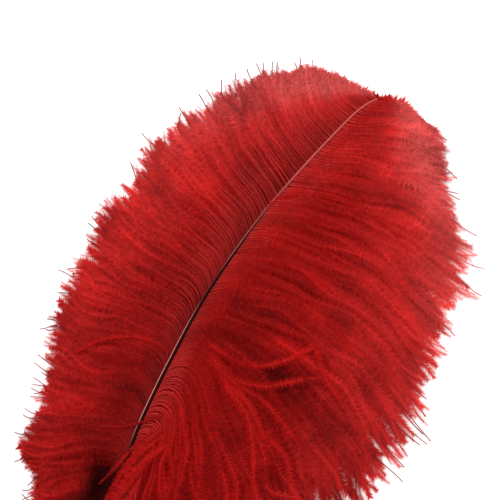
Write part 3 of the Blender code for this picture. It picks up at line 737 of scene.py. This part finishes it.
def barb_material():
    """Red dye that lets light through, paler towards the barbs' ends, partly as painted light on the thin
    ends.

    The mesh gives pale and tone, which carry painted light and shade, reach (0 on a bare stem, 1 at a
    barbule's point) and depth.
    """
    material, tree = new_material("dyed_barbs")
    pale, tone, reach, depth = (attribute(tree, name) for name in ("pale", "tone", "reach", "depth"))
    dye_and_lit_ends = ramp(tree, pale, [
        (0.0, (0.42, 0.005, 0.004)), (0.25, (0.50, 0.009, 0.008)), (0.60, (0.69, 0.029, 0.027)),
        (1.0, (0.81, 0.115, 0.108))])
    # how light it is: the tone, which carries painted light and shade, uneven in soft patches
    place = node(tree, "ShaderNodeNewGeometry").outputs["Position"]
    noise = node(tree, "ShaderNodeTexNoise", {"Vector": place, "Scale": 42.0, "Detail": 3.0})
    uneven = node(tree, "ShaderNodeMath", {0: tone, 1: noise.outputs["Fac"]}, operation='ADD')
    level = node(tree, "ShaderNodeMapRange", {
        "Value": uneven.outputs[0], "From Min": -0.2, "From Max": 1.5, "To Min": 0.075, "To Max": 1.25})
    # bare stems have a colour of their own, except where the barb is pale
    first = node(tree, "ShaderNodeMapRange", {"Value": reach, "From Max": 0.30})
    outer = node(tree, "ShaderNodeMath", {0: first.outputs[0], 1: pale}, operation='MAXIMUM',
                 use_clamp=True)
    stem = node(tree, "ShaderNodeMix", {0: outer.outputs[0], 6: (0.56, 0.050, 0.045, 1.0), 7: dye_and_lit_ends},
                data_type='RGBA')
    scaled = node(tree, "ShaderNodeVectorMath", {0: stem.outputs[2], "Scale": level.outputs[0]},
                  operation='SCALE')
    # the layers underneath are darker: painted shade under the barbs on top
    under_shade = node(tree, "ShaderNodeMix", {0: depth, 6: scaled.outputs[0], 7: (0.88, 0.75, 0.75, 1.0)},
                data_type='RGBA', blend_type='MULTIPLY')
    shader = node(tree, "ShaderNodeBsdfPrincipled", {
        "Base Color": under_shade.outputs[2], "Roughness": 0.6, "Specular IOR Level": 0.05,
        "Sheen Weight": 0.02, "Sheen Roughness": 0.4, "Sheen Tint": (1.0, 0.35, 0.33, 1.0)})
    through = node(tree, "ShaderNodeBsdfTranslucent", {"Color": under_shade.outputs[2]})
    mix = node(tree, "ShaderNodeMixShader", {0: 0.42, 1: shader.outputs[0], 2: through.outputs[0]})
    node(tree, "ShaderNodeOutputMaterial", {0: mix.outputs[0]})
    return material


# name, its two tables and its ways, side, mm between barbs, pieces, least share of the barbules
VANES = (("right", RIGHT_VANE, RIGHT_TONE, RIGHT_WAYS, 1, 1.05, 3, 0.20),
         ("left", LEFT_VANE, LEFT_TONE, LEFT_WAYS, -1, 1.1, 2, 0.26))
# the layers underneath: mm between barbs, share and mm by which they lie lower, barbules' pitch,
# width and length (mm), and the share of the length that the barbs have
LAYERS = (("mid", 1.6, 0.08, 0.8, 0.40, 0.72, 3.8, 0.97),
          ("low", 2.2, 0.30, 1.2, 0.6, 1.9, 5.0, 0.94))

dyed = barb_material()
for vane, table, tones, ways, side, apart, pieces, least in VANES:
    barbs = lay_barbs(table, tones, ways, side, apart)
    share = np.cumsum(barbs["length"]) / barbs["length"].sum()
    for piece in range(pieces):
        keep = (share > piece / pieces) & (share <= (piece + 1) / pieces + 1e-9)
        make_barbs("barbs_%s_%d" % (vane, piece + 1), {key: value[keep] for key, value in barbs.items()},
                   pitch=0.175, reach=2.5, stem=0.12, hair=0.20, least=least, depth=0.0)
    for layer, apart, sink, drop, pitch, hair, reach, kept in LAYERS:
        barbs = lay_barbs(table, tones, ways, side, apart, sink=sink, drop=drop, bundle=0.0)
        barbs["length"] = barbs["length"] * kept
        barbs["path"] = barbs["path"][:, :1] + (barbs["path"] - barbs["path"][:, :1]) * kept
        make_barbs("barbs_%s_%s" % (vane, layer), barbs,
                   pitch=pitch, reach=reach, stem=0.2, hair=hair, least=0.7, depth=1.0)


# ------------
# Loose barbs: single barbs that have strayed from their own place and lie across the others, some
# over the shaft and some in a small tangle on the wide vane. The same fibre as the vanes.
# height over the vane (mm), tone, share of their length that the barbules have, then the points
# that it passes (mm)
LOOSE = (
    (1.2, 0.25, 0.22, ((12, -47), (7, -53), (1, -58), (-7, -65), (-20, -71), (-31, -73))),
    (1.0, 0.20, 0.22, ((9, -49), (5, -54), (0, -60), (-8, -66), (-19, -69), (-27, -68))),
    (2.4, 0.40, 0.6, ((13, -55), (6, -69), (4, -80), (3, -90), (3, -99), (2, -109))),
    (2.6, 0.50, 0.7, ((10, -63), (6, -74), (4, -86), (4, -96), (3, -107), (1, -116))),
    (2.2, 0.45, 0.8, ((15, -57), (9, -69), (6, -80), (6, -91), (5, -102), (3, -113))),
    (2.4, 0.55, 0.8, ((17, -62), (12, -73), (8, -84), (7, -95), (5, -106), (2, -118))),
    (2.0, 0.50, 0.8, ((20, -58), (14, -70), (11, -82), (9, -93), (7, -104), (4, -116))),
    (2.2, 0.30, 0.5, ((9, -58), (4, -69), (1, -79), (-1, -88), (-4, -97))),
    (0.7, 0.60, 0.7, ((-2, -21), (-8, -19), (-15, -19), (-23, -22), (-31, -27), (-38, -33), (-43, -41),
                      (-50, -51))),
    (0.5, 0.60, 0.7, ((8, 63), (11, 72), (19, 79), (30, 84), (41, 86), (49, 87), (58, 87), (67, 85),
                      (76, 82), (85, 76))),
    (0.7, 0.55, 0.9, ((10, -14), (21, -16), (32, -19), (44, -20), (54, -22), (64, -26), (74, -31),
                      (84, -38))),
    (1.0, 0.65, 1.0, ((6, -6), (17, -8), (30, -9), (40, -7), (48, -2), (55, 6), (59, 12), (62, 17),
                      (63, 22))),
    (0.9, 0.55, 1.0, ((5, 6), (18, 13), (30, 19), (43, 24), (55, 28), (64, 29), (72, 26), (79, 20),
                      (89, 14))),
    (1.5, 0.85, 0.9, ((54, 6), (57, 9), (60, 13), (63, 17), (66, 21), (70, 25))),
    (1.5, 0.80, 0.9, ((71, 8), (67, 11), (62, 15), (57, 16), (52, 17))),
    (1.3, 0.70, 0.9, ((58, 19), (61, 15), (65, 11), (69, 7), (75, 2), (83, -2), (92, -8))),
    (0.9, 0.60, 1.0, ((32, -18), (41, -17), (50, -14), (58, -7), (65, -2), (72, 3))))
SPAN = 2.0                    # mm around a point within which the vane's height is taken
SINK = 0.5                    # mm that a loose barb starts under that height
ROUNDING = 4.0                # mm over which the corners of its route are rounded off
LOOSE_PALE = (0.15, 0.35)     # how pale the ends of the first and the last are
ON_VANE = 40.0                # mm from the shaft, so that they are dressed as the outer barbs are


def vane_height(points):
    """Height of the vanes' surface at points of the table's plane."""
    height = np.zeros(len(points))
    for table, side in ((RIGHT_VANE, 1), (LEFT_VANE, -1)):
        grid = guide_surface(table, side)[1][:, :int(GRID / OVERRUN)].reshape(-1, 3)
        for k, point in enumerate(points):
            near = np.hypot(grid[:, 0] - point[0], grid[:, 1] - point[1]) < SPAN
            if near.any():
                height[k] = max(height[k], grid[near, 2].max())
    return height


def loose_barbs():
    """The loose barbs along their routes, in the form that lay_barbs gives."""
    paths, lengths = [], []
    for lift, _, _, route in LOOSE:
        route = np.array(route, float)
        far = np.concatenate([[0.0], np.cumsum(np.linalg.norm(np.diff(route, axis=0), axis=1))])
        fine = np.linspace(-6.0, far[-1] + 6.0, 400)
        line = np.stack([np.interp(fine, far, route[:, k]) for k in (0, 1)], 1)
        weight = np.exp(-((fine[:, None] - fine[None]) / ROUNDING) ** 2)
        line = weight @ line / weight.sum(1, keepdims=True)
        flat = np.stack([np.interp(SHARE * far[-1], fine, line[:, k]) for k in (0, 1)], 1)
        above = lift * smooth(SHARE, -0.05, 0.2) * (1.0 - 0.7 * smooth(SHARE, 0.75, 1.0))
        paths.append(np.column_stack([flat, vane_height(flat) - SINK + above]))
        lengths.append(far[-1])
    count = len(LOOSE)
    return {"path": np.array(paths), "length": np.array(lengths),
            "tone": np.outer([tone for _, tone, _, _ in LOOSE], np.ones(STEPS)),
            "pale": np.outer(np.linspace(*LOOSE_PALE, count), SHARE),
            "long": np.array([size for _, _, size, _ in LOOSE]),
            "aside": np.full((count, STEPS), ON_VANE), "bare": np.ones(count), "shown": np.full(count, 10.0),
            "shine": np.zeros(count), "wisp": np.zeros(count), "thick": np.ones(count),
            "phase": rng.random(count), "full": np.full(count, 0.6), "stand": np.full(count, 6.0)}


make_barbs("loose_barbs", loose_barbs(), pitch=0.15, reach=3.0, stem=0.10, hair=0.2, least=1.0, depth=0.0)


# ------------
# The studio: a plain pale floor, a broad lamp high on the upper left, a softer one on the right
# and a white room. The camera looks straight down.
FLOOR_SIZE = 6.0              # m
FLOOR_GREY = 0.86
ROOM_LIGHT = 0.68
LAMP_AIM = np.array([0.01, 0.04, 0.0])     # m
CAMERA_HEIGHT = 1.2           # m over the table
VIEW_WIDTH, VIEW_AWAY = 0.25, 1.188        # m across the picture, at that distance from the camera
VIEW_MIDDLE = (-63.8, -75.85)              # from the shaft's tip, to the picture's right and up, mm
SENSOR = 36.0                 # mm

bpy.ops.mesh.primitive_plane_add(size=FLOOR_SIZE, location=(0.0, 0.0, 0.0))
floor = bpy.context.object
floor.name = "floor"
material, tree = new_material("pale_floor")
shader = node(tree, "ShaderNodeBsdfPrincipled",
              {"Base Color": (FLOOR_GREY, FLOOR_GREY, FLOOR_GREY, 1.0), "Roughness": 0.9})
node(tree, "ShaderNodeOutputMaterial", {0: shader.outputs[0]})
floor.data.materials.append(material)

world = bpy.data.worlds.new("room")
bpy.context.scene.world = world
world.use_nodes = True
background = world.node_tree.nodes["Background"]
background.inputs["Color"].default_value = (1.0, 1.0, 1.0, 1.0)
background.inputs["Strength"].default_value = ROOM_LIGHT


def lamp(name, bearing, height, distance, size, power):
    """A round lamp that looks at the feather, from so many degrees clockwise of up in the picture.

    height is in degrees too, distance and size in metres and power in watts.
    """
    light = bpy.data.lights.new(name, 'AREA')
    light.shape = 'DISK'
    light.size = size
    light.energy = power
    obj = bpy.data.objects.new(name, light)
    way, tall = math.radians(bearing - CHORD), math.radians(height)
    offset = np.array([math.sin(way) * math.cos(tall), math.cos(way) * math.cos(tall), math.sin(tall)])
    obj.location = LAMP_AIM + offset * distance
    obj.rotation_euler = (math.pi / 2 - tall, 0.0, math.atan2(-offset[1], -offset[0]) - math.pi / 2)
    bpy.context.scene.collection.objects.link(obj)


lamp("key", -48.0, 45.0, 2.6, 1.2, 69.0)
lamp("top", 38.0, 60.0, 2.4, 1.8, 35.0)

turned = math.radians(CHORD)
right, up = VIEW_MIDDLE
middle_x = SHAFT_X[-1] + (right * math.cos(turned) - up * math.sin(turned))
middle_y = SHAFT_Y[-1] + (right * math.sin(turned) + up * math.cos(turned))
camera = bpy.data.objects.new("camera", bpy.data.cameras.new("camera"))
bpy.context.scene.collection.objects.link(camera)
camera.location = (middle_x * MM, middle_y * MM, CAMERA_HEIGHT)
camera.rotation_euler = (0.0, 0.0, turned)
camera.data.sensor_width = SENSOR
camera.data.lens = SENSOR * VIEW_AWAY / VIEW_WIDTH
camera.data.clip_start = 0.05
bpy.context.scene.camera = camera
bpy.context.scene.view_settings.view_transform = 'Standard'
